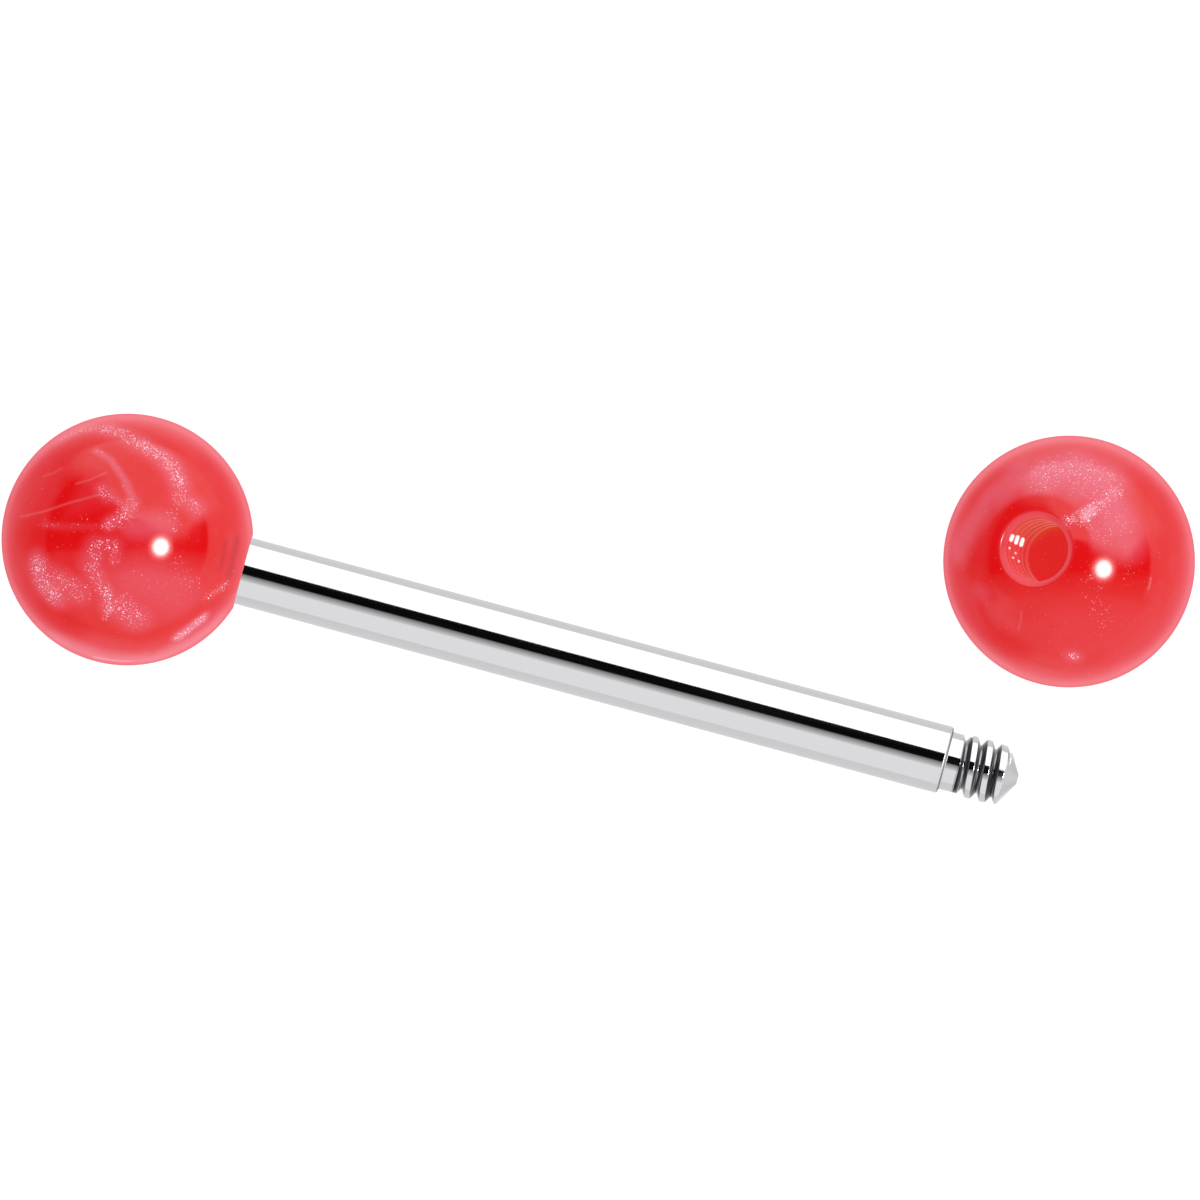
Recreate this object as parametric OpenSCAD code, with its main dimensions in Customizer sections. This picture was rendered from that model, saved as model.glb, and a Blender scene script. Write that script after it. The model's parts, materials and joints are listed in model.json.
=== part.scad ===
// Tongue barbell lying at rest: a steel post with a threaded stud at each end,
// one acrylic ball screwed on and the other lying loose beside the open stud.
// The long way of the layout is X, the surface it lies on is Z = 0.

/* [Post] */
// Diameter of the smooth shaft, 14 gauge
shaft_d = 1.63; // [1.60:0.01:1.68]
// Length of the shaft between its two shoulders
shaft_length = 17.42; // [8:0.01:24]
// Small bevel round each end of the shaft
shaft_edge = 0.05; // [0.03:0.01:0.06]

/* [Stud] */
// Diameter over the full crests of the thread
thread_d = 1.48; // [1.46:0.01:1.48]
// Advance of the thread in one turn
thread_pitch = 0.365; // [0.35:0.005:0.38]
// Depth of the groove below the crests
thread_depth = 0.17; // [0.12:0.01:0.18]
// Diameter of the plain neck where it leaves the shoulder
neck_d = 1.41; // [1.38:0.01:1.42]
// How much thinner the neck is where it meets the thread
neck_taper = 0.02; // [0.01:0.01:0.04]
// Length of the plain neck
neck_length = 0.33; // [0.28:0.01:0.36]
// Length of the threaded stretch, from the neck to the cone
thread_length = 1.10; // [1.0:0.05:1.1]
// Stretch at the end of the thread where the crests grow lower
lead_in_length = 0.35; // [0.2:0.05:0.4]
// Diameter over the crests at the end of the thread
lead_in_d = 1.39; // [1.34:0.01:1.42]
// Length of the cone that leads the thread in
point_length = 0.34; // [0.30:0.01:0.34]
// Diameter of the blunt tip of the cone
point_d = 0.24; // [0.2:0.01:0.3]

/* [Balls] */
// Diameter of each ball
ball_d = 6.0; // [5.8:0.1:7]
// Diameter of the rim where the hole's bevel meets the ball
rim_d = 1.80; // [1.78:0.01:1.90]
// Diameter of the hole at the crests of its thread
bore_d = 1.50; // [1.50:0.01:1.52]
// Depth of the hole below the rim, or more where the stud needs it
bore_depth = 1.95; // [1.95:0.05:2.4]
// Depth of the groove in the hole's wall
bore_groove = 0.09; // [0.06:0.01:0.10]

/* [Resting place] */
// How far the loose ball lies along the post from the mounted ball
loose_along = 21.9; // [21.9:0.1:40]
// How far the loose ball lies to the side of the post
loose_aside = 4.8; // [4.6:0.1:12]
// How far the loose ball's hole leans from straight up
loose_lean = 24.3; // [0:0.1:60]
// Which way the hole leans, turned from the long way of the post
loose_heading = -120; // [-180:1:180]

/* [Hidden] */
$fn = 96;

shaft_r = shaft_d / 2;
thread_r = thread_d / 2;
ball_r = ball_d / 2;
rim_r = rim_d / 2;
bore_r = bore_d / 2;

// Thread form: straight flanks, a narrow root, and ends that run out of the wall
flank_angle = 30;
root_width = 0.04;
cutter_margin = 0.04;
steps_per_turn = 24;
run_out_steps = 6;
groove_width = root_width + 2 * thread_depth * tan(flank_angle);

// Heights above a stud's shoulder: the crests start inside the first groove
groove_start = neck_length + groove_width / 2 - thread_pitch / 2;
first_crest_z = neck_length + groove_width * 2 / 3;
cone_z = neck_length + thread_length;
lead_in_z = cone_z - lead_in_length;
tip_z = cone_z + point_length;
// Turn of the groove about the post that brings its full depth to the upper side
groove_turn = 23;

// Clearance between the shaft's end and the bevel that it sits in
seat_gap = 0.03;
// Least clearance between a stud's tip and the floor of its hole
tip_gap = 0.03;
// Heights above the mounted ball's centre, along the post
rim_z = sqrt(ball_r * ball_r - rim_r * rim_r);
bevel_floor_z = rim_z - (rim_r - bore_r);
near_shoulder_z = rim_z - (rim_r - shaft_r - seat_gap) - shaft_edge;
far_shoulder_z = near_shoulder_z + shaft_length;
bore_floor_z = min(rim_z - bore_depth, near_shoulder_z - tip_z - tip_gap);

// The post slopes from the mounted ball down to the lowest crest of its open stud
function slope_onto(z, r) = asin(ball_r / norm([z, r])) - atan(r / z);
slope = min(
    slope_onto(far_shoulder_z + lead_in_z, thread_r),
    slope_onto(far_shoulder_z + cone_z, lead_in_d / 2)
);

// How far the cutter's root stands beyond the wall: less near its two ends
function cutter_lift(step, steps, depth) =
    let (ramp = min(1, step / run_out_steps, (steps - step) / run_out_steps))
    ramp * depth - (1 - ramp) * cutter_margin / 2;

// Corners of the cutter's section at one step: two at the root, two at the mouth
function cutter_corners(step, steps, wall_r, depth, side) =
    let (
        lift = cutter_lift(step, steps, depth),
        root_r = wall_r + side * lift,
        mouth_r = wall_r - side * cutter_margin,
        mouth_half = root_width / 2 + (lift + cutter_margin) * tan(flank_angle),
        turn = 360 * step / steps_per_turn,
        rise = thread_pitch * step / steps_per_turn
    )
    [for (corner = [[root_r, -root_width / 2], [root_r, root_width / 2],
                    [mouth_r, mouth_half], [mouth_r, -mouth_half]])
        [corner[0] * cos(turn), corner[0] * sin(turn), corner[1] + rise]];

// Ridge along a right-hand helix, which cuts a thread's groove into a round wall:
// side is -1 for the wall of a stud and 1 for the wall of a hole
module groove_cutter(wall_r, depth, turns, side) {
    corners = 4;
    steps = round(turns * steps_per_turn);
    last = steps * corners;
    points = [for (step = [0:steps])
        each cutter_corners(step, steps, wall_r, depth, side)];
    walls = [for (step = [0:steps - 1], c = [0:corners - 1])
        let (
            here = step * corners + c,
            beside = step * corners + (c + 1) % corners,
            next = here + corners,
            next_beside = beside + corners
        )
        each [[here, next, beside], [beside, next, next_beside]]];
    ends = [[0, 1, 2], [0, 2, 3],
            [last, last + 2, last + 1], [last, last + 3, last + 2]];
    // The section runs the other way round where the root lies outside the mouth
    polyhedron(points, side > 0
        ? [for (face = concat(walls, ends)) [face[0], face[2], face[1]]]
        : concat(walls, ends));
}

// One stud, standing on its shoulder
module stud() {
    groove_turns = (cone_z + point_length / 2 - groove_start) / thread_pitch;
    difference() {
        rotate_extrude() polygon([
            [0, 0],
            [neck_d / 2, 0],
            [(neck_d - neck_taper) / 2, first_crest_z],
            [thread_r, first_crest_z],
            [thread_r, lead_in_z],
            [lead_in_d / 2, cone_z],
            [point_d / 2, tip_z],
            [0, tip_z]
        ]);
        translate([0, 0, groove_start]) rotate([0, 0, groove_turn])
            groove_cutter(thread_r, thread_depth, groove_turns, -1);
    }
}

module shaft() {
    rotate_extrude() polygon([
        [0, near_shoulder_z],
        [shaft_r - shaft_edge, near_shoulder_z],
        [shaft_r, near_shoulder_z + shaft_edge],
        [shaft_r, far_shoulder_z - shaft_edge],
        [shaft_r - shaft_edge, far_shoulder_z],
        [0, far_shoulder_z]
    ]);
}

// One ball about its own centre, with the hole's mouth at the top
module ball() {
    bevel_h = 2 * (ball_r - bevel_floor_z);
    bore_groove_z = bore_floor_z + thread_pitch / 2;
    groove_turns = (rim_z - bore_groove_z) / thread_pitch;
    difference() {
        sphere(r = ball_r);
        translate([0, 0, bevel_floor_z])
            cylinder(h = bevel_h, r1 = bore_r, r2 = bore_r + bevel_h);
        translate([0, 0, bore_floor_z])
            cylinder(h = ball_r, r = bore_r);
        translate([0, 0, bore_groove_z])
            groove_cutter(bore_r, bore_groove, groove_turns, 1);
    }
}

// Puts what stands over the mounted ball's centre along the sloping post
module along_post() {
    translate([-loose_along / 2, -loose_aside / 2, ball_r])
        rotate([0, 90 + slope, 0])
            children();
}

module post() {
    color("gainsboro") along_post() {
        shaft();
        translate([0, 0, far_shoulder_z]) stud();
        translate([0, 0, near_shoulder_z]) rotate([180, 0, 0]) stud();
    }
}

module mounted_ball() {
    color("crimson") along_post() ball();
}

module loose_ball() {
    color("crimson")
        translate([loose_along / 2, loose_aside / 2, ball_r])
            rotate([0, loose_lean, loose_heading])
                ball();
}

post();
mounted_ball();
loose_ball();
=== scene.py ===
# Looks of the tongue barbell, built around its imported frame. Lengths are metres unless a name ends in mm.
import json
from math import asin, ceil, cos, hypot, pi, radians, sin, sqrt, tan

import bpy
import numpy
from mathutils import Matrix, Vector, noise


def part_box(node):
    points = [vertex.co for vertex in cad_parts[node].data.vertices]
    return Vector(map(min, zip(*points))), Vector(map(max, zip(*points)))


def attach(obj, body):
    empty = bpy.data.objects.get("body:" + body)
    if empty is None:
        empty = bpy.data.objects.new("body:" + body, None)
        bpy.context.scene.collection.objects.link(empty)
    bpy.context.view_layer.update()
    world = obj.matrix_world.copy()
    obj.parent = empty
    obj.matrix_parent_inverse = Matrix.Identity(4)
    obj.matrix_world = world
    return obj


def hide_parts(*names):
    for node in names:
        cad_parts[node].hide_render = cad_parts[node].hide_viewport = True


mm = 0.001

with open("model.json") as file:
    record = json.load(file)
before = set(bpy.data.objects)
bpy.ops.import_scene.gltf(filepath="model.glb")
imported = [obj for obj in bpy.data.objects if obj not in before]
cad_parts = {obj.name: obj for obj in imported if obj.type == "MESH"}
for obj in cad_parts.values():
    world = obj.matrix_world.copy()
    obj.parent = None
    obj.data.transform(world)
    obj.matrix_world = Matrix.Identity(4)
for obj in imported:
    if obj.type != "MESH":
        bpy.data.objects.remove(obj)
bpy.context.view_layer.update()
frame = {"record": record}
mounts = {m["name"]: m for m in frame["record"]["mounts"]}

# Where the photograph was taken from, and how it frames the object
view = {
    "azimuth": 13.833,
    "elevation": 65.86,
    "pixelsPerMm": 42.0,
    "imagePixels": 1200,
    "mountedBallPixel": (127.4, 539.5),
    "lens": 1500.0,  # lens and sensor in millimetres, as the camera takes them
    "sensor": 36.0,
    "clipNear": 0.05,  # both clips in camera distances
    "clipFar": 40.0,
}

around = radians(view["azimuth"])
above = radians(view["elevation"])
toCamera = Vector((sin(around) * cos(above), -cos(around) * cos(above), sin(above)))
toRight = Vector((cos(around), sin(around), 0))
toTop = toCamera.cross(toRight)
crosswise = Vector((0, 1, 0))  # level and square to the post


# The turn that brings X, Y and Z to three directions
def turnedTo(right, up, out):
    return Matrix((right, up, out)).transposed()


# A socket of a node tree, so that shader maths is written as plain expressions
class Wire:
    def __init__(self, tree, socket=None):
        self.tree = tree
        self.socket = socket

    # Adds any node: its settings first, then the values or links of its sockets
    def node(self, kind, settings=None, inputs=None, output=0):
        made = self.tree.nodes.new(kind)
        for name, value in (settings or {}).items():
            setattr(made, name, value)
        for name, value in (inputs or {}).items():
            if isinstance(value, Wire):
                self.tree.links.new(value.socket, made.inputs[name])
            else:
                made.inputs[name].default_value = value
        return Wire(self.tree, made.outputs[output] if made.outputs else None)

    def maths(self, operation, *values):
        return self.node("ShaderNodeMath", {"operation": operation}, dict(enumerate(values)))

    def vectors(self, operation, *values, output=0):
        return self.node("ShaderNodeVectorMath", {"operation": operation}, dict(enumerate(values)), output)

    def __add__(self, other):
        return self.maths("ADD", self, other)

    def __radd__(self, other):
        return self.maths("ADD", other, self)

    def __sub__(self, other):
        return self.maths("SUBTRACT", self, other)

    def __rsub__(self, other):
        return self.maths("SUBTRACT", other, self)

    def __mul__(self, other):
        return self.maths("MULTIPLY", self, other)

    def __rmul__(self, other):
        return self.maths("MULTIPLY", other, self)

    def __truediv__(self, other):
        return self.maths("DIVIDE", self, other)

    def __gt__(self, other):
        return self.maths("GREATER_THAN", self, other)

    def least(self, other):
        return self.maths("MINIMUM", self, other)

    def most(self, other):
        return self.maths("MAXIMUM", self, other)

    # Rises smoothly from 0 where the value is low to 1 where it is high; low may be the larger
    def rise(self, low, high):
        if low > high:
            return 1 - self.rise(high, low)
        settings = {"interpolation_type": "SMOOTHSTEP"}
        return self.node("ShaderNodeMapRange", settings, {"Value": self, "From Min": low, "From Max": high})

    # The same, but rising evenly
    def ramp(self, low, high):
        if low > high:
            return 1 - self.ramp(high, low)
        return self.node("ShaderNodeMapRange", None, {"Value": self, "From Min": low, "From Max": high})

    # 1 between two places: rises over the first pair of values and falls over the second
    def between(self, rising, falling):
        return self.rise(*rising) * self.rise(*falling)

    def along(self, direction):
        return self.vectors("DOT_PRODUCT", self, tuple(direction), output="Value")

    def length(self):
        return self.vectors("LENGTH", self, output="Value")

    # This vector grown by a factor
    def grown(self, factor):
        return self.node("ShaderNodeVectorMath", {"operation": "SCALE"}, {"Vector": self, "Scale": factor})

    # A fixed vector grown by this value
    def times(self, vector):
        inputs = {"Vector": tuple(vector), "Scale": self}
        return self.node("ShaderNodeVectorMath", {"operation": "SCALE"}, inputs)

    def part(self, index):
        return self.node("ShaderNodeSeparateXYZ", None, {"Vector": self}, index)


# Two colours mixed by a mask
def mixed(mask, first, second):
    return mask.node("ShaderNodeMix", {"data_type": "RGBA"}, {0: mask, 6: first, 7: second}, 2)


# Two plain values mixed by a mask
def blended(mask, first, second):
    return first + mask * (second - first)


def newMaterial(name):
    material = bpy.data.materials.new(name)
    material.use_nodes = True
    material.node_tree.nodes.clear()
    material.cycles.emission_sampling = "NONE"
    return material, Wire(material.node_tree)


def finished(start, inputs):
    shader = start.node("ShaderNodeBsdfPrincipled", None, inputs)
    start.node("ShaderNodeOutputMaterial", None, {"Surface": shader})


# Outline of (height, radius) points with each inner corner rounded, over a part of the stretches beside it
def softened(outline, softness, steps=5, largestPart=0.45):
    result = [outline[0]]
    for before, corner, after in zip(outline, outline[1:], outline[2:]):
        corner = Vector(corner)
        back = Vector(before) - corner
        ahead = Vector(after) - corner
        start = corner + back * min(largestPart, softness / back.length)
        end = corner + ahead * min(largestPart, softness / ahead.length)
        for step in range(steps + 1):
            t = step / steps
            result.append(tuple(start * (1 - t) ** 2 + corner * 2 * t * (1 - t) + end * t ** 2))
    return result + [outline[-1]]


# The same outline with no stretch between its points longer than a step
def filled(outline, step):
    result = [outline[0]]
    for start, end in zip(outline, outline[1:]):
        pieces = max(1, ceil(hypot(end[0] - start[0], end[1] - start[1]) / step))
        for piece in range(1, pieces + 1):
            t = piece / pieces
            result.append((start[0] + (end[0] - start[0]) * t, start[1] + (end[1] - start[1]) * t))
    return result


# Turns an outline into a closed mesh, with cut(height, radius, turn) giving each point's radius
def turned(name, outline, segments, cut):
    points = []
    rings = []
    for height, radius in outline:
        if radius == 0:
            rings.append([len(points)] * segments)
            points.append((0, 0, height))
            continue
        rings.append(range(len(points), len(points) + segments))
        for segment in range(segments):
            turn = 2 * pi * segment / segments
            reach = cut(height, radius, turn)
            points.append((reach * cos(turn), reach * sin(turn), height))
    faces = []
    for lower, upper in zip(rings, rings[1:]):
        for segment in range(segments):
            beside = (segment + 1) % segments
            corners = (lower[segment], lower[beside], upper[beside], upper[segment])
            faces.append(tuple(dict.fromkeys(corners)))
    mesh = bpy.data.meshes.new(name)
    mesh.from_pydata(points, [], faces)
    mesh.shade_smooth()
    mesh.validate()
    return mesh


# The thread shared by the post and the balls
thread = {
    "pitch": 0.365 * mm,
    "rootWidth": 0.04 * mm,
    "flankAngle": 30,
    "margin": 0.04 * mm,  # at its ends the groove lies half of this outside the wall
    "runOut": pi / 2,  # turn over which it gets there
}


# How far a helical groove reaches into a wall at one point of it
def grooveDepth(height, turn, start, startTurn, turns, depth):
    slope = 1 / tan(radians(thread["flankAngle"]))
    pitch = thread["pitch"]
    phase = (turn - startTurn) / (2 * pi)
    nearest = round((height - start) / pitch - phase)
    best = 0
    for count in (nearest - 1, nearest, nearest + 1):
        travelled = 2 * pi * (phase + count)
        left = 2 * pi * turns - travelled
        if travelled < 0 or left < 0:
            continue
        ramp = min(1, travelled / thread["runOut"], left / thread["runOut"])
        lift = ramp * depth - (1 - ramp) * thread["margin"] / 2
        aside = abs(height - start - pitch * (phase + count)) - thread["rootWidth"] / 2
        best = max(best, lift - max(0, aside) * slope)
    return best


# Post: smooth shaft, and a stud at each end with a neck, a thread and a cone
post = {
    "shaftEdge": 0.05 * mm,
    "edgeSoftness": 0.01 * mm,
    "threadRadius": 0.74 * mm,
    "threadDepth": 0.17 * mm,
    "neckRadius": 0.705 * mm,
    "neckTaper": 0.01 * mm,
    "neckLength": 0.33 * mm,
    "threadLength": 1.10 * mm,
    "leadInLength": 0.35 * mm,
    "leadInRadius": 0.695 * mm,
    "pointLength": 0.34 * mm,
    "pointRadius": 0.12 * mm,
    "grooveTurn": 23,
    "joinPart": 0.9,  # the outlines of shaft and stud meet at this part of the shaft's radius
    "segments": 192,
    "openStep": 0.008 * mm,
    "hiddenStep": 0.03 * mm,
    "softness": 0.018 * mm,
}

shaftMount = mounts["piercing_shaft"]
postAxis = Vector(shaftMount["axis"]).normalized()
shaftMiddle = Vector(shaftMount["pos_m"])
shaftRadius = shaftMount["dims"]["r_mm"] * mm
shaftHalf = shaftMount["dims"]["length_mm"] * mm / 2 + post["shaftEdge"]

# Heights above a stud's shoulder
coneStart = post["neckLength"] + post["threadLength"]
leadInStart = coneStart - post["leadInLength"]
tipHeight = coneStart + post["pointLength"]

grooveMouth = thread["rootWidth"] + 2 * post["threadDepth"] * tan(radians(thread["flankAngle"]))


# Outline of one stud above its shoulder, with the neck first
def studOutline():
    firstCrest = post["neckLength"] + grooveMouth * 2 / 3
    return [
        (0, post["neckRadius"]),
        (firstCrest, post["neckRadius"] - post["neckTaper"]),
        (firstCrest, post["threadRadius"]),
        (leadInStart, post["threadRadius"]),
        (coneStart, post["leadInRadius"]),
        (tipHeight, post["pointRadius"]),
        (tipHeight, 0),
    ]


# Radius of a stud's surface once its groove is cut
def grooveCut(height, radius, turn):
    start = post["neckLength"] + (grooveMouth - thread["pitch"]) / 2
    turns = (coneStart + post["pointLength"] / 2 - start) / thread["pitch"]
    depth = grooveDepth(height, turn, start, radians(post["grooveTurn"]), turns, post["threadDepth"])
    return min(radius, post["threadRadius"] - depth)


def makePost():
    join = shaftRadius * post["joinPart"]
    stud = softened([(0, join)] + studOutline(), post["softness"])
    openStud = filled(stud, post["openStep"])
    hiddenStud = filled(stud, post["hiddenStep"])
    edge = post["shaftEdge"]
    shaft = softened([
        (-shaftHalf, join),
        (-shaftHalf, shaftRadius - edge),
        (edge - shaftHalf, shaftRadius),
        (0, shaftRadius),
        (shaftHalf - edge, shaftRadius),
        (shaftHalf, shaftRadius - edge),
        (shaftHalf, join),
    ], post["edgeSoftness"])
    outline = [(-shaftHalf - height, radius) for height, radius in reversed(hiddenStud[1:])]
    outline += shaft
    outline += [(shaftHalf + height, radius) for height, radius in openStud[1:]]

    def cut(height, radius, turn):
        if height > shaftHalf:
            return grooveCut(height - shaftHalf, radius, turn)
        if height < -shaftHalf:
            return grooveCut(-shaftHalf - height, radius, -turn)
        return radius

    mesh = turned("post_steel", outline, post["segments"], cut)
    made = bpy.data.objects.new("post_steel", mesh)
    mesh.transform(turnedTo(crosswise.cross(postAxis), crosswise, postAxis).to_4x4())
    made.location = shaftMiddle
    return made


# Balls: both the same, with a bevelled mouth and a blind threaded hole
ball = {
    "rimRadius": 0.90 * mm,
    "boreRadius": 0.75 * mm,
    "boreDepth": 1.95 * mm,
    "boreGroove": 0.09 * mm,
    "wallTolerance": 0.001,
    "segments": 288,
    "latitudes": 160,
    "boreStep": 0.02 * mm,
    "floorStep": 0.25 * mm,
    "softness": 0.05 * mm,
}

lowMounted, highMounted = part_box("mounted_ball")
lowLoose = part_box("loose_ball")[0]
ballRadius = (highMounted.y - lowMounted.y) / 2
cornerToCentre = Vector((ballRadius, ballRadius, ballRadius))
mountedCentre = lowMounted + cornerToCentre
looseCentre = lowLoose + cornerToCentre
holeAxis = Vector(mounts["loose_ball_hole"]["axis"]).normalized()


def makeBall(name, centre, axis, aside):
    rimHeight = sqrt(ballRadius ** 2 - ball["rimRadius"] ** 2)
    bevelHeight = rimHeight - (ball["rimRadius"] - ball["boreRadius"])
    floorHeight = rimHeight - ball["boreDepth"]
    top = asin(rimHeight / ballRadius)
    curve = []
    for step in range(ball["latitudes"] + 1):
        latitude = -pi / 2 + (top + pi / 2) * step / ball["latitudes"]
        curve.append((ballRadius * sin(latitude), ballRadius * cos(latitude)))
    curve[0] = (-ballRadius, 0)
    mouth = softened([
        curve[-2],
        (rimHeight, ball["rimRadius"]),
        (bevelHeight, ball["boreRadius"]),
        (floorHeight, ball["boreRadius"]),
        (floorHeight, 0),
    ], ball["softness"])
    outline = curve[:-1] + filled(mouth[1:-1], ball["boreStep"]) + filled(mouth[-2:], ball["floorStep"])[1:]

    grooveStart = floorHeight + thread["pitch"] / 2
    grooveTurns = (rimHeight - grooveStart) / thread["pitch"]

    # only the hole's straight wall is cut
    def cut(height, radius, turn):
        if abs(radius / ball["boreRadius"] - 1) > ball["wallTolerance"]:
            return radius
        return radius + grooveDepth(height, turn, grooveStart, 0, grooveTurns, ball["boreGroove"])

    mesh = turned(name, outline, ball["segments"], cut)
    right = aside.cross(axis).normalized()
    mesh.transform(turnedTo(right, axis.cross(right), axis).to_4x4())
    made = bpy.data.objects.new(name, mesh)
    made.location = centre
    return made


# Steel: mirror polish with faint scratches along the shaft, a dull bevel and a thin dark line of painted
# shade at each shoulder, near-black grooves of painted shade with grey streaks and a paler root, and a
# duller cone painted lighter than the rest
steel = {
    "colour": (0.70, 0.70, 0.715, 1),
    "groove": (0.018, 0.017, 0.026, 1),
    "grooveStreak": (0.48, 0.47, 0.48, 1),
    "grooveRoot": (0.46, 0.46, 0.47, 1),
    "shoulderShade": (0.27, 0.27, 0.275, 1),
    # painted light: the cone's colour is lighter than the steel's, so that it looks brighter
    "cone": (0.88, 0.87, 0.90, 1),
    "roughness": 0.045,
    "roughnessSpread": 0.05,
    "bevelRoughness": 0.6,
    "coneRoughness": 0.25,
    # about how many steps the noises take in a metre, across the post and along it
    "scratchSteps": (9000, 350),
    "streakSteps": (500, 26000),
    "noiseDetail": 3.0,
    # values of the noises over which each mark comes up
    "scratchRise": (0.2, 0.8),
    "streakRise": (0.52, 0.66),
    "rootRise": (0.36, 0.56),
    "rootStrength": 0.8,
    # depths below the crests over which the groove's painted shade and its root come up
    "grooveDepths": (0.004 * mm, 0.024 * mm),
    "rootDepths": (0.150 * mm, 0.166 * mm),
    # heights over which the thread's marks come up at the neck's end and go at the cone's start,
    # and those over which the cone's own look comes up
    "threadRise": (-0.033 * mm, 0.017 * mm),
    "threadFall": (0.03 * mm, -0.03 * mm),
    "coneRise": (-0.01 * mm, 0.01 * mm),
    # heights from the shoulder over which the dull bevel and the dark line of painted shade come up and go
    "bevelPlace": ((-0.062 * mm, -0.048 * mm), (0.03 * mm, 0.012 * mm)),
    "shoulderShadePlace": ((-0.032 * mm, -0.020 * mm), (0.016 * mm, 0.004 * mm)),
    "scratchStrength": 0.05,
    "scratchDepth": 0.004 * mm,
}


def steelMaterial():
    material, start = newMaterial("polished_steel")
    place = start.node("ShaderNodeTexCoord", None, None, "Object")
    lengthwise = place.along(postAxis)
    beside = place.vectors("SUBTRACT", place, lengthwise.times(postAxis))
    end = lengthwise.maths("ABSOLUTE", lengthwise) - shaftHalf  # height above the nearer shoulder

    across, along = steel["scratchSteps"]
    detail = {"Scale": 1.0, "Detail": steel["noiseDetail"]}
    stretched = place.vectors("ADD", beside.grown(across), place.grown(along))
    scratches = start.node("ShaderNodeTexNoise", None, {"Vector": stretched, **detail}, "Fac")
    across, along = steel["streakSteps"]
    squeezed = place.vectors("ADD", beside.grown(across), lengthwise.times(postAxis * along))
    streaks = start.node("ShaderNodeTexNoise", None, {"Vector": squeezed, **detail}, "Fac")

    threaded = (end - post["neckLength"]).rise(*steel["threadRise"])
    threaded = threaded * (end - coneStart).rise(*steel["threadFall"])
    taper = (post["threadRadius"] - post["leadInRadius"]) / post["leadInLength"]
    crest = post["threadRadius"] - (end - leadInStart).most(0.0) * taper
    depth = crest - beside.length()
    # painted shade: the groove is coloured near-black, broken by grey streaks and a paler root
    groove = mixed(streaks.rise(*steel["streakRise"]), steel["groove"], steel["grooveStreak"])
    root = depth.rise(*steel["rootDepths"]) * streaks.rise(*steel["rootRise"])
    groove = mixed(root * steel["rootStrength"], groove, steel["grooveRoot"])
    colour = mixed(depth.rise(*steel["grooveDepths"]) * threaded, steel["colour"], groove)

    cone = (end - coneStart).rise(*steel["coneRise"])
    # painted shade: a thin dark line in the crease at each shoulder
    colour = mixed(end.between(*steel["shoulderShadePlace"]), colour, steel["shoulderShade"])
    # the cone is painted lighter than the rest of the steel
    colour = mixed(cone, colour, steel["cone"])
    roughness = scratches.rise(*steel["scratchRise"]) * steel["roughnessSpread"] + steel["roughness"]
    roughness = blended(end.between(*steel["bevelPlace"]), roughness, steel["bevelRoughness"])
    roughness = blended(cone, roughness, steel["coneRoughness"])
    bump = start.node("ShaderNodeBump", None, {
        "Height": scratches, "Strength": steel["scratchStrength"], "Distance": steel["scratchDepth"],
    })
    finished(start, {
        "Base Color": colour,
        "Metallic": 1.0,
        "Roughness": roughness,
        "Normal": bump,
    })
    return material


# Acrylic of the balls: a deep red body with pearl swirls and fine mica. It glows as painted light, standing
# in for light passing through the acrylic.
# Places and widths are in ball radii, and a pair of values is where a mark begins and where it is full
acrylic = {
    "deep": (0.76, 0.006, 0.0075, 1),
    "body": (0.77, 0.022, 0.030, 1),
    "pearl": (0.82, 0.175, 0.255, 1),
    "line": (0.86, 0.38, 0.44, 1),
    # painted shade: the dark steel seen through the acrylic beside the mounted ball's mouth
    "shade": (0.36, 0.004, 0.020, 1),
    "micaWarm": (1.0, 0.66, 0.74, 1),
    "micaCool": (0.92, 0.74, 1.0, 1),
    "sparkle": (1.10, 0.92, 1.0, 1),
    "sparkleStrength": 0.8,
    # painted sheen: a pinker, bluer colour towards the outline, standing in for the studio's reflection at
    # grazing angles
    "rim": (0.78, 0.085, 0.19, 1),
    "rimSheenStrength": 0.36,
    "rimSheenFacing": (0.35, 0.95),
    "lit": 0.12,
    "glow": 0.865,
    "refraction": 1.43,
    "roughness": 0.10,
    "edgeRoughness": 0.50,
    "edgeFacing": (0.55, 1.0),
    "cloud": {"Scale": 1.7, "Detail": 4.0, "Roughness": 0.55},
    "cloudRise": (0.35, 0.60),
    # painted marks: how finely a path is followed, how it wavers, and where the marks begin and are
    # full, in their own widths
    "pathStep": 0.12,
    "drift": 0.02,
    "driftScale": 4.0,
    "driftSeed": 5,
    "markFade": (1.2, 0.1),
    # flakes: fine grains and larger specks, in cells a ball radius
    "grains": 104.0,
    "grainStrength": 0.6,
    "fewestGrains": 0.02,
    "specks": 62.0,
    "speckShare": 0.42,
    "fewestSpecks": 0.003,
    "micaGain": 1.25,
    "flakeEdge": (0.46, 0.20),
    "flakeShine": 1.5,
    "flakeRise": (-0.1, 0.35),
    # swirls of the far side: folds where a noise passes through its middle value
    "farPlace": (0.10, -0.20),
    "farNoise": {"Scale": 1.1, "Detail": 1.5, "Distortion": 1.2},
    "farPearl": (0.06, 0.0),
    "farMica": (0.035, 0.0),
    "farDeep": ((0.05, 0.09), (0.15, 0.11)),
    "farStrengths": {"pearl": 0.5, "mica": 0.6, "deep": 0.8},
    "farShifts": {"mounted_ball": (0, 0, 0), "loose_ball": (3.1, 1.7, 0.4)},
}
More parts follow.
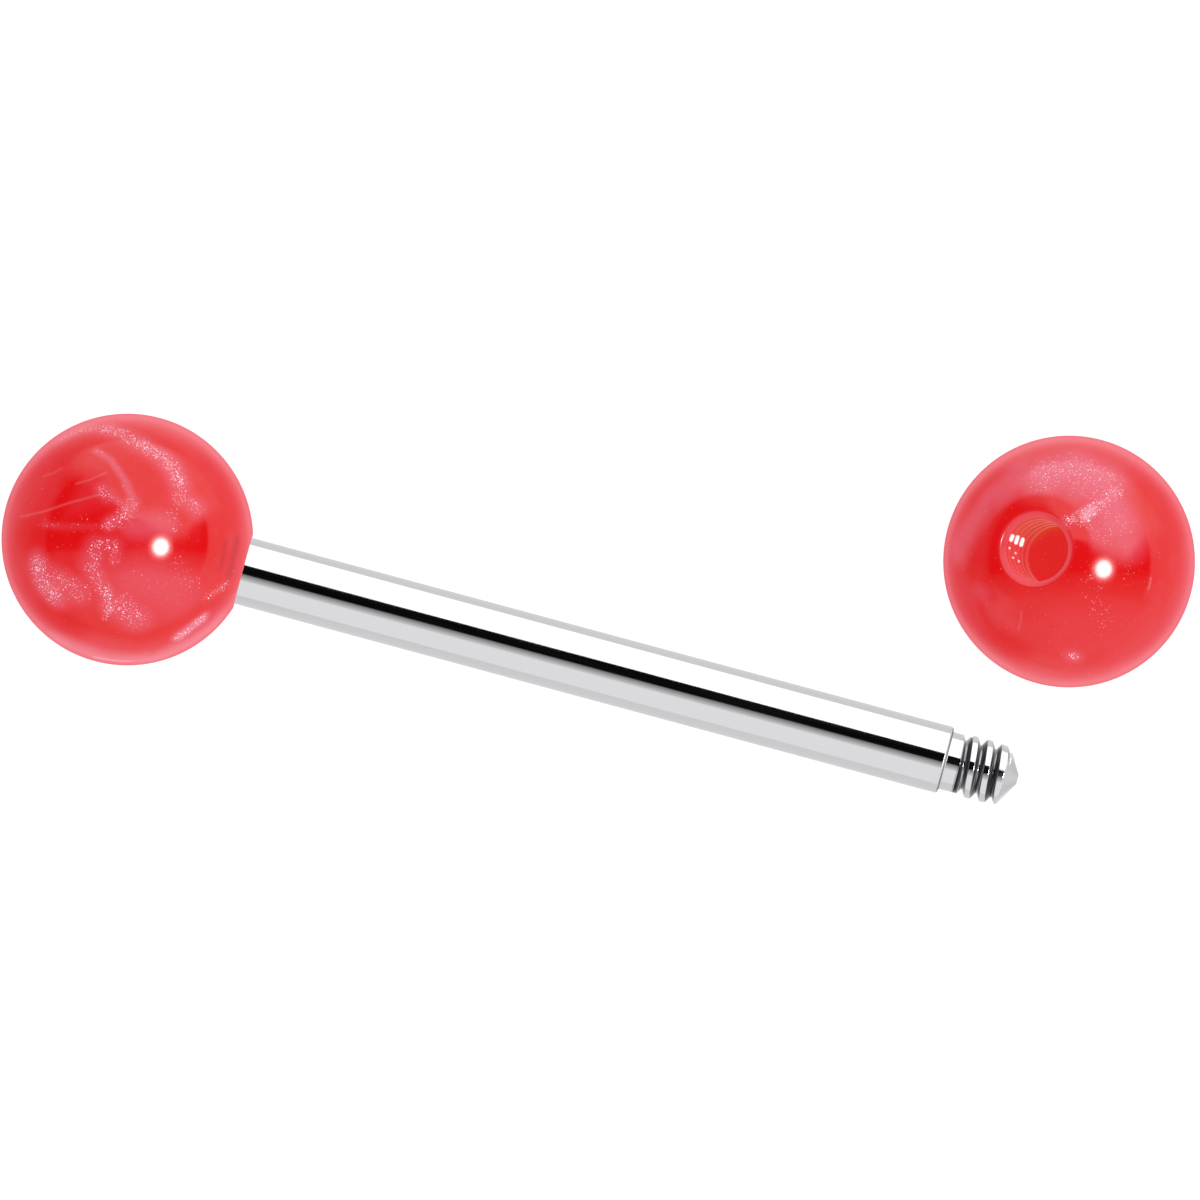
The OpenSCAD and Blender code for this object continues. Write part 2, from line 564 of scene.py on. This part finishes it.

# Look of the hole: a deeper ring round it, a pale bevel, a red floor and wall that glow as painted light,
# and a warmer tint high on the wall, painted light on its upper side. belowMouth, besideWall and besideRim
# are counted from those edges
holeLook = {
    "bore": (0.70, 0.016, 0.016, 1),
    "wall": (0.64, 0.036, 0.013, 1),
    "wallPlace": (0.19, 0.235),
    "wallHigh": (0.05, 0.20),
    "roughness": 0.60,
    "lowest": 0.2,
    "belowMouth": (0.008, -0.004),
    "besideWall": (0.05, 0.04),
    "ringStrength": 0.9,
    "ringHeights": (0.75, 0.80),
    "ringWidths": (0.47, 0.41),
    "besideRim": (0.0, 0.03),
    "bevel": (0.80, 0.065, 0.090, 1),
    "bevelStrength": 0.8,
    "bevelRoughness": 0.2,
    "bevelBelow": 0.006,
    "bevelPastRim": 0.03,
    "bevelPastWall": 0.01,
    "glint": (1.6, 1.6, 1.6, 1),
}

# What the photograph shows on each ball, in ball radii to the right of and above its middle:
# each path has its points, then the marks that follow it, each with a kind, a width and a strength
mountedPaths = [
    # the sparkling arc near the top and its branches
    ([(-0.50, 0.80), (-0.33, 0.88), (-0.17, 0.88)], ("mica", 0.07, 0.35), ("pearl", 0.12, 0.28)),
    ([(-0.17, 0.88), (-0.01, 0.82), (0.11, 0.76)], ("mica", 0.085, 0.65), ("pearl", 0.14, 0.36)),
    ([(0.11, 0.76), (0.24, 0.68), (0.36, 0.58), (0.43, 0.45)], ("mica", 0.08, 0.85), ("pearl", 0.14, 0.45)),
    ([(0.43, 0.45), (0.46, 0.34), (0.56, 0.25)], ("mica", 0.07, 0.45), ("pearl", 0.14, 0.35)),
    ([(0.42, 0.36), (0.36, 0.17), (0.38, 0.08)], ("mica", 0.06, 0.28)),
    ([(-0.46, 0.66), (-0.33, 0.74), (-0.18, 0.79), (-0.05, 0.76)], ("deep", 0.15, 0.7)),
    ([(0.41, 0.73), (0.54, 0.62), (0.64, 0.50)], ("deep", 0.09, 0.35)),
    # the fine hook with its sparkling end, and the haze beside it
    ([(-0.24, 0.70), (-0.12, 0.63), (-0.01, 0.49), (0.06, 0.32)],
     ("pearl", 0.045, 0.42), ("mica", 0.035, 0.16)),
    ([(0.05, 0.28), (0.01, 0.21), (-0.13, 0.12)], ("mica", 0.07, 0.55), ("pearl", 0.09, 0.40)),
    ([(-0.20, 0.39), (-0.15, 0.35)], ("mica", 0.055, 0.60), ("pearl", 0.09, 0.35)),
    ([(-0.15, 0.35), (-0.04, 0.29)], ("pearl", 0.05, 0.30), ("mica", 0.03, 0.20)),
    # painted light: a pale veil over the edge of the dark card's reflection
    ([(0.04, 0.12), (0.30, 0.12)], ("pearl", 0.15, 0.35)),
    ([(-0.65, 0.12), (-0.17, 0.10)], ("mica", 0.10, 0.07), ("pearl", 0.04, 0.12)),
    # deep red on the left, a painted reflection of the dark card round the camera
    ([(-0.55, 0.19), (-0.43, 0.47)], ("deep", 0.13, 1.0)),
    ([(-0.88, 0.03), (-0.45, 0.0), (-0.04, 0.04)], ("deep", 0.14, 1.0)),
    ([(-0.50, 0.10), (-0.30, 0.12)], ("deep", 0.16, 0.8)),
    # the sparkling patch low on the left
    ([(-0.70, -0.22), (-0.66, -0.33), (-0.58, -0.44)], ("mica", 0.12, 0.70), ("pearl", 0.17, 0.48)),
    ([(-0.62, -0.30), (-0.38, -0.41)], ("mica", 0.15, 0.28), ("pearl", 0.16, 0.30)),
    # the sparkling column and the haze beside it
    ([(-0.24, -0.07), (-0.28, -0.22), (-0.16, -0.43)], ("mica", 0.075, 0.52), ("pearl", 0.14, 0.32)),
    ([(-0.20, -0.05), (-0.09, -0.05), (-0.09, -0.16)], ("mica", 0.06, 0.45), ("pearl", 0.12, 0.25)),
    ([(-0.16, -0.41), (-0.13, -0.55)], ("mica", 0.06, 1.0), ("pearl", 0.12, 0.40)),
    ([(-0.14, -0.52), (-0.17, -0.62)], ("mica", 0.05, 0.45)),
    ([(-0.05, -0.52), (0.08, -0.62)], ("mica", 0.14, 0.34), ("pearl", 0.20, 0.32)),
    ([(0.10, -0.32), (0.40, -0.40)], ("pearl", 0.30, 0.24), ("mica", 0.25, 0.05)),
    # the deep fold round the bottom, the glow below it, and a painted reflection: a thin bright line along
    # the bottom rim
    ([(-0.62, -0.54), (-0.27, -0.68), (0.11, -0.77), (0.31, -0.73)], ("deep", 0.13, 0.85)),
    ([(0.31, -0.73), (0.50, -0.60), (0.83, -0.43)], ("deep", 0.10, 0.75)),
    ([(-0.52, -0.80), (-0.20, -0.93), (0.20, -0.95), (0.52, -0.80), (0.70, -0.66)], ("pearl", 0.16, 0.42)),
    # painted reflection: a thin bright line along the bottom rim
    ([(-0.26, -0.935), (-0.10, -0.961), (0.03, -0.967)], ("line", 0.032, 0.65)),
    ([(0.42, -0.77), (0.50, -0.71), (0.60, -0.64)], ("mica", 0.065, 1.0), ("pearl", 0.09, 0.9)),
    # beside the mouth: mica, a painted reflection of the dark card's edge, and painted shade where the dark
    # steel shows through
    ([(0.64, -0.455), (0.80, -0.345)], ("mica", 0.06, 0.65)),
    ([(0.36, -0.16), (0.42, -0.26), (0.56, -0.36)], ("mica", 0.12, 0.13)),
    # painted reflection: the dark card's edge
    ([(0.65, 0.17), (0.60, -0.10)], ("deep", 0.08, 1.0)),
    ([(0.87, -0.02), (0.815, -0.26)], ("shade", 0.07, 0.38)),
    ([(0.79, -0.02), (0.745, -0.22)], ("shade", 0.04, 0.30)),
]

loosePaths = [
    # the pearl patch with its sparkling edge
    ([(-0.18, 0.70), (0.05, 0.74), (0.24, 0.66)], ("pearl", 0.32, 0.70), ("mica", 0.24, 0.32)),
    ([(0.10, 0.62), (0.26, 0.56), (0.38, 0.32)], ("pearl", 0.28, 0.60), ("mica", 0.22, 0.16)),
    ([(0.20, 0.28), (0.45, 0.16)], ("pearl", 0.22, 0.42)),
    ([(0.02, 0.335), (0.10, 0.34), (0.17, 0.41)],
     ("mica", 0.08, 0.95), ("pearl", 0.10, 0.85), ("line", 0.05, 0.35)),
    ([(0.17, 0.41), (0.25, 0.475), (0.37, 0.555)], ("mica", 0.075, 0.75), ("pearl", 0.10, 0.70)),
    ([(0.16, 0.28), (0.27, 0.17)], ("mica", 0.10, 0.15)),
    ([(-0.27, 0.73), (-0.17, 0.745), (-0.06, 0.81)], ("deep", 0.05, 0.65)),
    ([(-0.88, 0.10), (-0.78, 0.28), (-0.62, 0.52)], ("pearl", 0.18, 0.34)),
    ([(-0.55, 0.55), (-0.38, 0.72)], ("pearl", 0.22, 0.42)),
    # deeper red: folds, a painted reflection of the dark card across the middle, and a painted reflection
    # of the post low on the left
    ([(0.46, 0.68), (0.57, 0.56), (0.65, 0.44)], ("deep", 0.07, 0.6)),
    ([(0.84, 0.15), (0.85, -0.05), (0.72, -0.42)], ("deep", 0.07, 0.5)),
    # painted reflection of the post: a dark arc on the left and round the bottom
    ([(-0.80, 0.10), (-0.77, -0.20)], ("deep", 0.08, 0.7)),
    ([(-0.77, -0.20), (-0.63, -0.54), (-0.29, -0.80), (-0.10, -0.85)], ("deep", 0.065, 0.7)),
    # painted reflection of the dark card
    ([(0.12, 0.00), (0.56, -0.06)], ("deep", 0.20, 1.0)),
    ([(-0.30, -0.22), (0.10, -0.27), (0.52, -0.23)], ("deep", 0.20, 0.8)),
    # fine sparkle
    ([(0.02, -0.745), (0.05, -0.755)], ("mica", 0.045, 0.9), ("pearl", 0.10, 0.30)),
    ([(0.18, -0.12), (0.22, -0.34), (0.27, -0.52)], ("mica", 0.12, 0.12)),
    ([(0.45, -0.05), (0.58, -0.12)], ("mica", 0.12, 0.10)),
    ([(-0.74, -0.24), (-0.68, -0.26)], ("pearl", 0.11, 0.16)),
]

# Thin lines, which are finer than the mesh: each has a width, a strength and its points
mountedLines = [
    (0.014, 0.13, [(-0.84, 0.18), (-0.66, 0.22), (-0.45, 0.29), (-0.21, 0.355)]),
    (0.012, 0.12, [(-0.40, 0.44), (-0.28, 0.475), (-0.16, 0.53)]),
    (0.014, 0.08, [(-0.66, 0.50), (-0.58, 0.525), (-0.51, 0.565)]),
]
looseLines = [
    (0.012, 0.09, [(-0.385, -0.40), (-0.39, -0.47), (-0.41, -0.54)]),
    (0.010, 0.22, [(0.642, -0.13), (0.634, -0.175), (0.622, -0.22)]),
]

# Lamp glints inside the open hole: on three thread crests, and specks below them
holeGlints = [
    (0.018, 1.0, [(-0.456, 0.200), (-0.466, 0.172)]),
    (0.018, 1.0, [(-0.414, 0.192), (-0.426, 0.150)]),
    (0.018, 1.0, [(-0.372, 0.174), (-0.384, 0.132)]),
    (0.010, 0.5, [(-0.480, 0.108), (-0.478, 0.104)]),
    (0.010, 0.4, [(-0.430, 0.068), (-0.428, 0.064)]),
    (0.010, 0.5, [(-0.404, 0.004), (-0.402, 0.000)]),
    (0.010, 0.4, [(-0.452, 0.030), (-0.448, 0.030)]),
]

# The marks that are kept on the points of the balls' meshes. Some deep marks are painted reflections, a
# line along the mounted ball's bottom rim is a painted reflection, and shade is painted shade
kinds = ("deep", "pearl", "line", "mica", "shade")


# The place on a ball, in ball radii, that the photograph shows to the right of and above its middle
def onBall(x, y):
    return toRight * x + toTop * y + toCamera * sqrt(max(0, 1 - x * x - y * y))


# Marks each point of a ball's mesh with how strongly each kind is painted there
def paint(mesh, paths):
    flat = numpy.empty(len(mesh.vertices) * 3)
    mesh.vertices.foreach_get("co", flat)
    places = flat.reshape(-1, 3) / ballRadius
    noise.seed_set(acrylic["driftSeed"])  # else the noise differs from run to run
    drift = [noise.noise_vector(place) for place in places * acrylic["driftScale"]]
    places += acrylic["drift"] * numpy.array(drift)
    masks = {kind: numpy.zeros(len(places)) for kind in kinds}
    begins, full = acrylic["markFade"]
    for points, *marks in paths:
        spots = [numpy.array(onBall(*point)) for point in filled(points, acrylic["pathStep"])]
        nearest = numpy.full(len(places), numpy.inf)
        for start, end in zip(spots, spots[1:]):
            along = end - start
            share = numpy.clip((places - start) @ along / (along @ along), 0, 1)
            away = places - start - share[:, None] * along
            nearest = numpy.minimum(nearest, numpy.linalg.norm(away, axis=1))
        for kind, width, strength in marks:
            near = numpy.clip((width * begins - nearest) / (width * (begins - full)), 0, 1)
            masks[kind] = numpy.maximum(masks[kind], near * near * (3 - 2 * near) * strength)
    for kind, values in masks.items():
        mesh.attributes.new(kind, "FLOAT", "POINT").data.foreach_set("value", values)


# How strongly thin lines are drawn at a place of the side that the photograph shows
def drawn(place, lines):
    near = place.along(toCamera)
    flat = place.vectors("SUBTRACT", place, near.times(toCamera))
    begins, full = acrylic["markFade"]
    result = None
    for width, strength, points in lines:
        spots = [toRight * x + toTop * y for x, y in points]
        nearest = None
        for start, end in zip(spots, spots[1:]):
            along = end - start
            local = place.vectors("SUBTRACT", flat, tuple(start))
            share = local.along(along / along.length_squared).ramp(0, 1)
            away = local.vectors("DISTANCE", local, share.times(along), output="Value")
            nearest = away if nearest is None else nearest.least(away)
        mask = nearest.rise(width * begins, width * full) * strength
        result = mask if result is None else result.most(mask)
    return result * (near > 0)


# Round flakes that fill more of a place, and shine brighter, as the mask grows; and a tint for each
def flakes(place, scale, mask):
    settings = {"Vector": place, "Scale": scale}
    dot = place.node("ShaderNodeTexVoronoi", None, settings, "Distance").rise(*acrylic["flakeEdge"])
    luck = place.node("ShaderNodeTexVoronoi", None, settings, "Color")
    shine = (luck.part(0) - 1 + mask) / (mask + 0.001) * acrylic["flakeShine"]  # 0.001 keeps it finite
    shine = shine.most(0.0)
    return dot * (shine * shine).least(1.0) * mask.rise(*acrylic["flakeRise"]), luck.part(2)


# Adds swirls to the masks on the far side, which the photograph doesn't show
def addFarSwirls(place, masks, shift):
    far = place.along(toCamera).rise(*acrylic["farPlace"])
    shifted = place.vectors("ADD", place, shift)
    wander = place.node("ShaderNodeTexNoise", None, {"Vector": shifted, **acrylic["farNoise"]}, "Fac")
    fold = wander.maths("ABSOLUTE", wander - 0.5)
    swirls = {
        "pearl": fold.rise(*acrylic["farPearl"]),
        "mica": fold.rise(*acrylic["farMica"]),
        "deep": fold.between(*acrylic["farDeep"]),
    }
    for kind, swirl in swirls.items():
        masks[kind] = masks[kind].most(swirl * far * acrylic["farStrengths"][kind])


def acrylicMaterial(name, lines, hole, openHole, farShift):
    material, start = newMaterial(name)
    place = start.node("ShaderNodeTexCoord", None, None, "Object").grown(1 / ballRadius)
    masks = {}
    for kind in kinds:
        masks[kind] = start.node("ShaderNodeAttribute", {"attribute_name": kind}, None, "Fac")
    masks["mica"] = masks["mica"] * acrylic["micaGain"]
    addFarSwirls(place, masks, farShift)

    cloud = start.node("ShaderNodeTexNoise", None, {"Vector": place, **acrylic["cloud"]}, "Fac")
    colour = mixed(cloud.rise(*acrylic["cloudRise"]), acrylic["deep"], acrylic["body"])
    colour = mixed(masks["deep"], colour, acrylic["deep"])
    colour = mixed(masks["pearl"], colour, acrylic["pearl"])
    colour = mixed(drawn(place, lines).most(masks["line"]), colour, acrylic["line"])
    facing = start.node("ShaderNodeLayerWeight", None, {"Blend": 0.5}, "Facing")
    # painted sheen towards the ball's outline
    colour = mixed(facing.rise(*acrylic["rimSheenFacing"]) * acrylic["rimSheenStrength"], colour, acrylic["rim"])

    # the hole, by the height along its axis and the distance from it
    height = place.along(hole)
    distance = place.vectors("CROSS_PRODUCT", place, tuple(hole)).length()
    rim = ball["rimRadius"] / ballRadius
    bore = ball["boreRadius"] / ballRadius
    mouth = sqrt(1 - rim ** 2) - (rim - bore)
    inside = (height - mouth).rise(*holeLook["belowMouth"]) * (height > holeLook["lowest"])
    inside = inside * (distance - bore).rise(*holeLook["besideWall"])
    roughness = blended(inside, acrylic["roughness"], holeLook["roughness"])
    if openHole:
        ring = height.rise(*holeLook["ringHeights"]) * distance.rise(*holeLook["ringWidths"])
        ring = ring * (distance - rim).rise(*holeLook["besideRim"])
        colour = mixed(ring * holeLook["ringStrength"], colour, acrylic["deep"])
        narrow = bore - holeLook["bevelPastWall"]
        bevel = distance.between((rim + holeLook["bevelPastRim"], narrow), (narrow, bore))
        bevel = bevel * (height > mouth - holeLook["bevelBelow"])
        colour = mixed(bevel * holeLook["bevelStrength"], colour, holeLook["bevel"])
        roughness = roughness + bevel * holeLook["bevelRoughness"]
    # painted light: a warmer tint on the upper side of the hole's wall
    high = place.along(toTop - hole * toTop.dot(hole)).rise(*holeLook["wallHigh"])
    wall = mixed(distance.rise(*holeLook["wallPlace"]) * high, holeLook["bore"], holeLook["wall"])
    colour = mixed(inside, colour, wall)

    # flakes of two sizes, and the painted shade beside the mounted ball's mouth, where the dark steel shows
    # through
    grain, grainTint = flakes(place, acrylic["grains"], masks["mica"].most(acrylic["fewestGrains"]))
    sparse = (masks["mica"] * acrylic["speckShare"]).most(acrylic["fewestSpecks"])
    speck, speckTint = flakes(place, acrylic["specks"], sparse)
    grain = grain * acrylic["grainStrength"]
    colour = mixed(grain, colour, mixed(grainTint, acrylic["micaWarm"], acrylic["micaCool"]))
    colour = mixed(speck, colour, mixed(speckTint, acrylic["micaCool"], acrylic["micaWarm"]))
    colour = mixed(masks["shade"], colour, acrylic["shade"])

    # painted light: the body glows with its own colour, and the inside of the hole glows at the full colour
    glow = mixed(inside, colour.grown(acrylic["glow"]), colour)
    glow = mixed((grain + speck).least(1.0) * acrylic["sparkleStrength"], glow, acrylic["sparkle"])
    if openHole:
        glow = mixed(drawn(place, holeGlints), glow, holeLook["glint"])
    finished(start, {
        "Base Color": colour.grown(acrylic["lit"]),
        "Roughness": blended(facing.rise(*acrylic["edgeFacing"]), roughness, acrylic["edgeRoughness"]),
        "IOR": acrylic["refraction"],
        "Emission Color": glow,
        "Emission Strength": 1.0,
    })
    return material


def makeObject():
    pieces = {
        "post": makePost(),
        "mounted_ball": makeBall("mounted_ball_acrylic", mountedCentre, postAxis, crosswise),
        "loose_ball": makeBall("loose_ball_acrylic", looseCentre, holeAxis, toTop),
    }
    paint(pieces["mounted_ball"].data, mountedPaths)
    paint(pieces["loose_ball"].data, loosePaths)
    shifts = acrylic["farShifts"]
    mountedLook = acrylicMaterial("acrylic_mounted", mountedLines, postAxis, False, shifts["mounted_ball"])
    looseLook = acrylicMaterial("acrylic_loose", looseLines, holeAxis, True, shifts["loose_ball"])
    finishes = {
        "post": ("steel", steelMaterial()),
        "mounted_ball": ("acrylic", mountedLook),
        "loose_ball": ("acrylic", looseLook),
    }
    for node, piece in pieces.items():
        bpy.context.scene.collection.objects.link(piece)
        slot, material = finishes[node]
        piece.data.materials.append(material)
        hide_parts(node)
        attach(piece, node)
        piece.visible_glossy = False  # each polish shows the plain studio alone, as in the photograph
        print("made", piece.name, len(piece.data.polygons), "faces")


# Studio, as the polish shows it: a white tent overhead, a dark card round the camera,
# greyer walls to the sides and behind, and a small lamp; a pale glowing floor lies below.
# Each direction is told by its shares to the right, to the top and towards the camera of the photograph
studio = {
    "tent": 1.6,
    "backdrop": 1.2,
    # the card, which grows paler downwards in steps, each from one height to another by so much
    "card": 0.003,
    "cardSteps": ((-0.15, -0.175, 0.22), (-0.175, -0.46, 0.50), (-0.46, -0.53, 0.28)),
    # its upper edge, raised or lowered in steps to the left and right, and softer away from its middle
    "cardTop": 0.342,
    "cardTopSteps": ((0.05, -0.40, 0.48), (0.12, 0.72, -0.30), (0.80, 0.95, 0.26)),
    "cardTopMiddle": 0.092,
    "cardTopSoftens": (0.03, 0.40),
    "cardTopSoftness": (0.010, 0.150),
    # the side walls: their brightness, where one turns into the other, and where the card ends
    "left": 0.25,
    "right": 1.0,
    "sideTurn": (-0.2, 0.2),
    "cardReach": (0.185, 0.155),
    "cardBottom": (-0.5, -0.4),
    # the wall behind, darker at both sides, and its tilted edge, softer at both sides
    "behind": 0.84,
    "behindLeft": 0.42,
    "behindRight": 0.58,
    "leftBegins": (-0.25, -0.6),
    "rightBegins": (0.25, 0.6),
    "rightBack": (-0.3, -0.6),
    "behindStart": -0.155,
    "behindTilt": 0.0926,
    "behindSoftens": (0.27, 0.60),
    "behindSoftness": (0.008, 0.168),
    # the lamp and its halo: the angles from its aim where each begins and is full, and its strength
    "lampAim": (0.519, -0.115, 0.847),
    "lamps": ((8.6, 6.0, 30.0), (13.0, 6.5, 5.0)),
    "floorSize": 4.0,
    "floorColour": (0.15, 0.15, 0.15, 1),
    "floorRoughness": 0.9,
    "floorGlow": 0.97,
}


def makeWorld():
    world = bpy.data.worlds.new("studio_light")
    world.use_nodes = True
    world.node_tree.nodes.clear()
    tree = Wire(world.node_tree)
    way = tree.node("ShaderNodeTexCoord", None, None, "Generated")
    aside = way.along(toRight)
    up = way.along(toTop)
    near = way.along(toCamera)

    front = studio["card"]
    for start, end, gain in studio["cardSteps"]:
        front = up.ramp(start, end) * gain + front
    side = blended(aside.rise(*studio["sideTurn"]), studio["left"], studio["right"])
    beyond = near.rise(*studio["cardReach"]) * up.rise(*studio["cardBottom"])
    front = blended(beyond, front, side)

    edge = studio["cardTop"]
    for start, end, gain in studio["cardTopSteps"]:
        edge = aside.rise(start, end) * gain + edge
    away = aside.maths("ABSOLUTE", aside - studio["cardTopMiddle"])
    soft = blended(away.rise(*studio["cardTopSoftens"]), *studio["cardTopSoftness"])
    light = blended(((up - edge) / soft).rise(-1, 1), front, studio["tent"])

    toTheRight = aside.rise(*studio["rightBegins"]) * near.rise(*studio["rightBack"])
    behind = blended(toTheRight, studio["behind"], studio["behindRight"])
    behind = blended(aside.rise(*studio["leftBegins"]), behind, studio["behindLeft"])
    away = aside.maths("ABSOLUTE", aside)
    soft = blended(away.rise(*studio["behindSoftens"]), *studio["behindSoftness"])
    back = (near + up * studio["behindTilt"] - studio["behindStart"]) / soft
    light = blended(back.rise(1, -1), light, behind)

    aim = Vector(studio["lampAim"]).normalized()
    towardsLamp = way.along(toRight * aim.x + toTop * aim.y + toCamera * aim.z)
    for begins, full, strength in studio["lamps"]:
        light = towardsLamp.rise(cos(radians(begins)), cos(radians(full))) * strength + light
    seen = tree.node("ShaderNodeLightPath", None, None, "Is Camera Ray")
    light = blended(seen, light, studio["backdrop"])
    background = tree.node("ShaderNodeBackground", None, {"Color": (1, 1, 1, 1), "Strength": light})
    tree.node("ShaderNodeOutputWorld", None, {"Surface": background})
    bpy.context.scene.world = world


def makeFloor():
    size = studio["floorSize"]
    mesh = bpy.data.meshes.new("floor")
    corners = [(-size, -size, 0), (size, -size, 0), (size, size, 0), (-size, size, 0)]
    mesh.from_pydata(corners, [], [(0, 1, 2, 3)])
    floor = bpy.data.objects.new("floor", mesh)
    bpy.context.scene.collection.objects.link(floor)
    material, start = newMaterial("pale_floor")
    finished(start, {
        "Base Color": studio["floorColour"],
        "Roughness": studio["floorRoughness"],
        "Specular IOR Level": 0.0,
        "Emission Color": (1, 1, 1, 1),
        "Emission Strength": studio["floorGlow"],
    })
    mesh.materials.append(material)
    floor.visible_glossy = False


def makeCamera():
    perMm = view["pixelsPerMm"]
    middle = view["imagePixels"] / 2
    aside = (middle - view["mountedBallPixel"][0]) / perMm * mm
    down = (middle - view["mountedBallPixel"][1]) / perMm * mm
    aim = mountedCentre + toRight * aside - toTop * down
    width = view["imagePixels"] / perMm * mm
    distance = width * view["lens"] / view["sensor"]
    data = bpy.data.cameras.new("camera")
    data.lens = view["lens"]
    data.sensor_width = view["sensor"]
    data.clip_start = distance * view["clipNear"]
    data.clip_end = distance * view["clipFar"]
    camera = bpy.data.objects.new("camera", data)
    stand = Matrix.Translation(aim + toCamera * distance)
    camera.matrix_world = stand @ turnedTo(toRight, toTop, toCamera).to_4x4()
    bpy.context.scene.collection.objects.link(camera)
    bpy.context.scene.camera = camera


makeCamera()
print("camera set")
makeWorld()
makeFloor()
print("studio set")
makeObject()
bpy.context.scene.view_settings.view_transform = "Standard"
